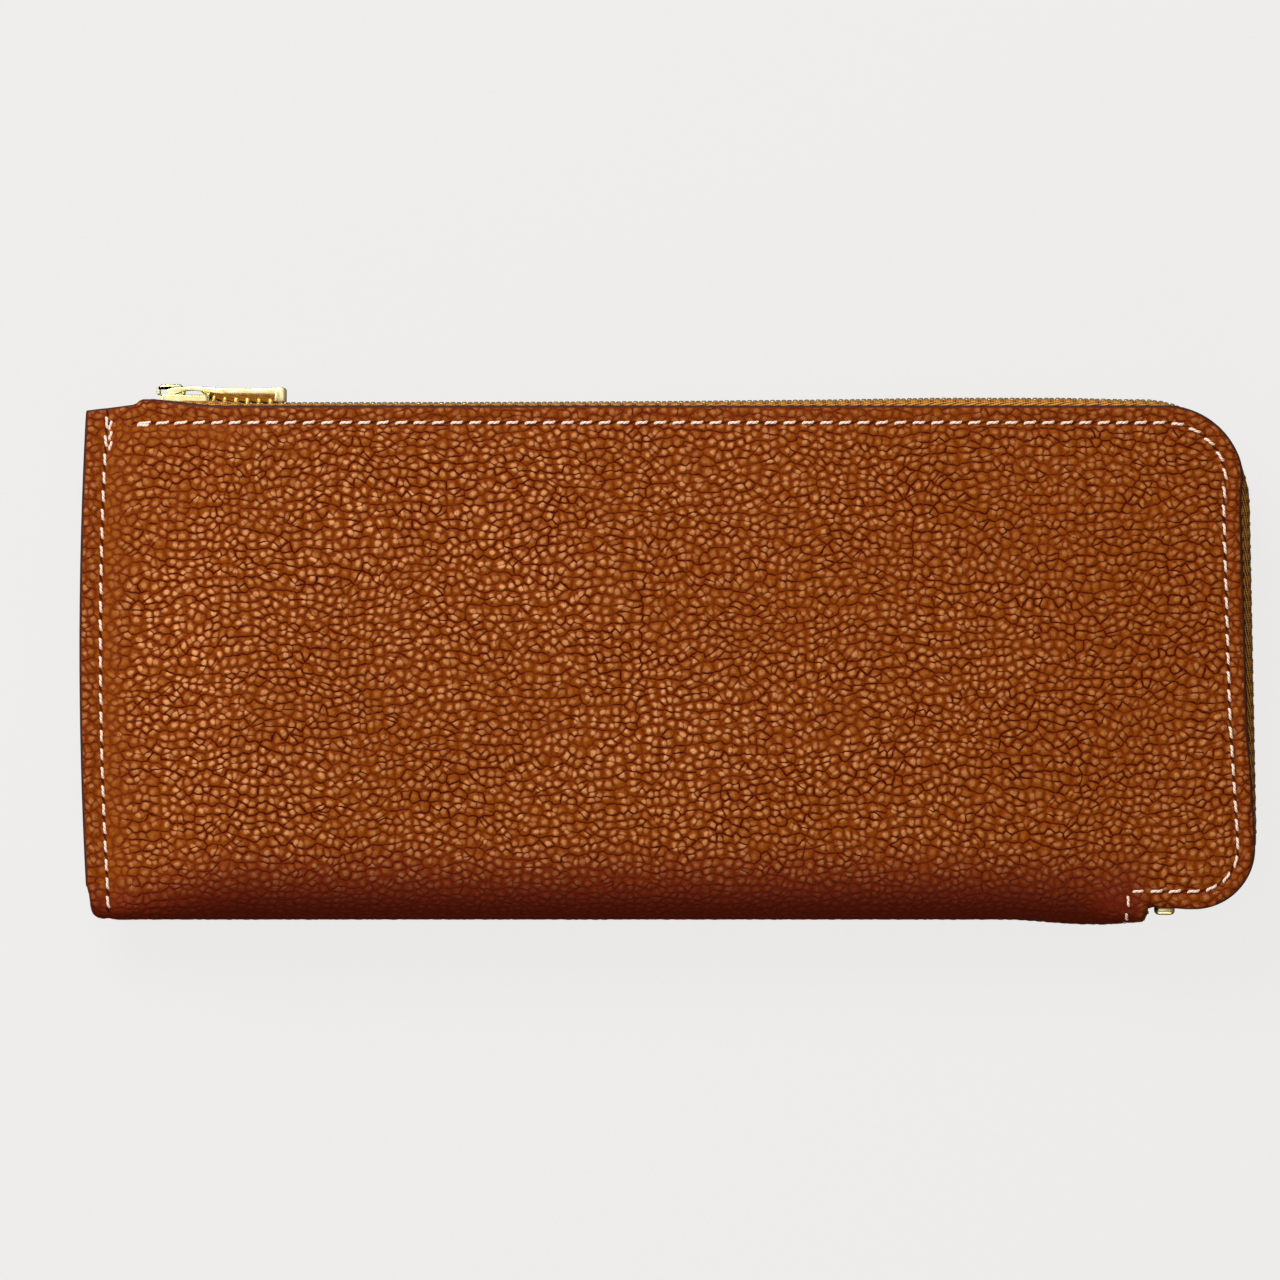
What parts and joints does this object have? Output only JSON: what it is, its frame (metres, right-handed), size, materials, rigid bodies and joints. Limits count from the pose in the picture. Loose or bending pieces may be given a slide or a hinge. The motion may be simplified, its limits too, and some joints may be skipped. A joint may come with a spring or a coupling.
{
  "type": "l-zip long wallet",
  "caption": "Long leather wallet folded along its bottom edge, with an L-shaped metal zip along the top and right edges, card leaves and a coin pocket inside.",
  "frame": {"origin": "centre of the wallet's outline, on the plane that the back panel rests on", "axes": "+X along the length towards the zipped end, +Y from the fold towards the zip along the top edge, +Z out of the front panel"},
  "size_m": [0.198, 0.0912, 0.02],
  "materials": {
    "leather": "satin",
    "lining": "matte",
    "board": "matte",
    "zip_tape": "matte",
    "zip_metal": "polished",
    "thread": "satin"
  },
  "bodies": {
    "root": {"outer_leather": "leather", "front_board": "board", "back_board": "board", "lining": "lining", "left_gusset": "lining", "card_backing": "lining", "card_row_1": "lining", "card_row_2": "lining", "card_row_3": "lining", "coin_pocket": "lining", "zip_tape_back": "zip_tape", "zip_teeth_back": "zip_metal", "top_stop_back": "zip_metal", "bottom_stop": "zip_metal", "zip_end_tab": "zip_tape", "left_seam_thread": "thread", "back_thread": "thread"},
    "slider": {"slider_body": "zip_metal", "slider_bridge": "zip_metal"},
    "pull": {"pull_tab": "zip_metal"},
    "front_corner": {"outer_leather_corner": "leather", "front_board_corner": "board", "lining_corner": "lining", "zip_tape_front": "zip_tape", "zip_teeth_front": "zip_metal", "top_stop_front": "zip_metal", "front_thread": "thread"},
    "pocket_corner": {"coin_pocket_corner": "lining", "coin_pocket_side": "lining"}
  },
  "joints": [
    {"name": "zip_slide", "type": "slide", "parent": "root", "child": "slider", "axis": [1, 0, 0], "range_m": [0, 0.156], "deforming": ["zip_teeth_back", "zip_teeth_front", "zip_tape_front"]},
    {"name": "front_open", "type": "hinge", "parent": "root", "child": "front_corner", "pos_m": [-0.088, 0.042, 0.02], "axis": [0.8886, -0.4588, 0], "range_deg": [0, 50]},
    {"name": "pocket_tilt", "type": "hinge", "parent": "root", "child": "pocket_corner", "pos_m": [-0.074, 0.033, 0.01335], "axis": [0.9196, -0.3928, 0], "range_deg": [0, 25]},
    {"name": "pull_swing", "type": "hinge", "parent": "slider", "child": "pull", "pos_m": [-0.0837, 0.04415, 0.01], "axis": [0, 0, 1], "range_deg": [0, 170]}
  ],
  "couplings": [
    {"joint": "front_open", "follows": "zip_slide", "rad_per_m": 5.59},
    {"joint": "pocket_tilt", "follows": "zip_slide", "rad_per_m": 2.79}
  ]
}
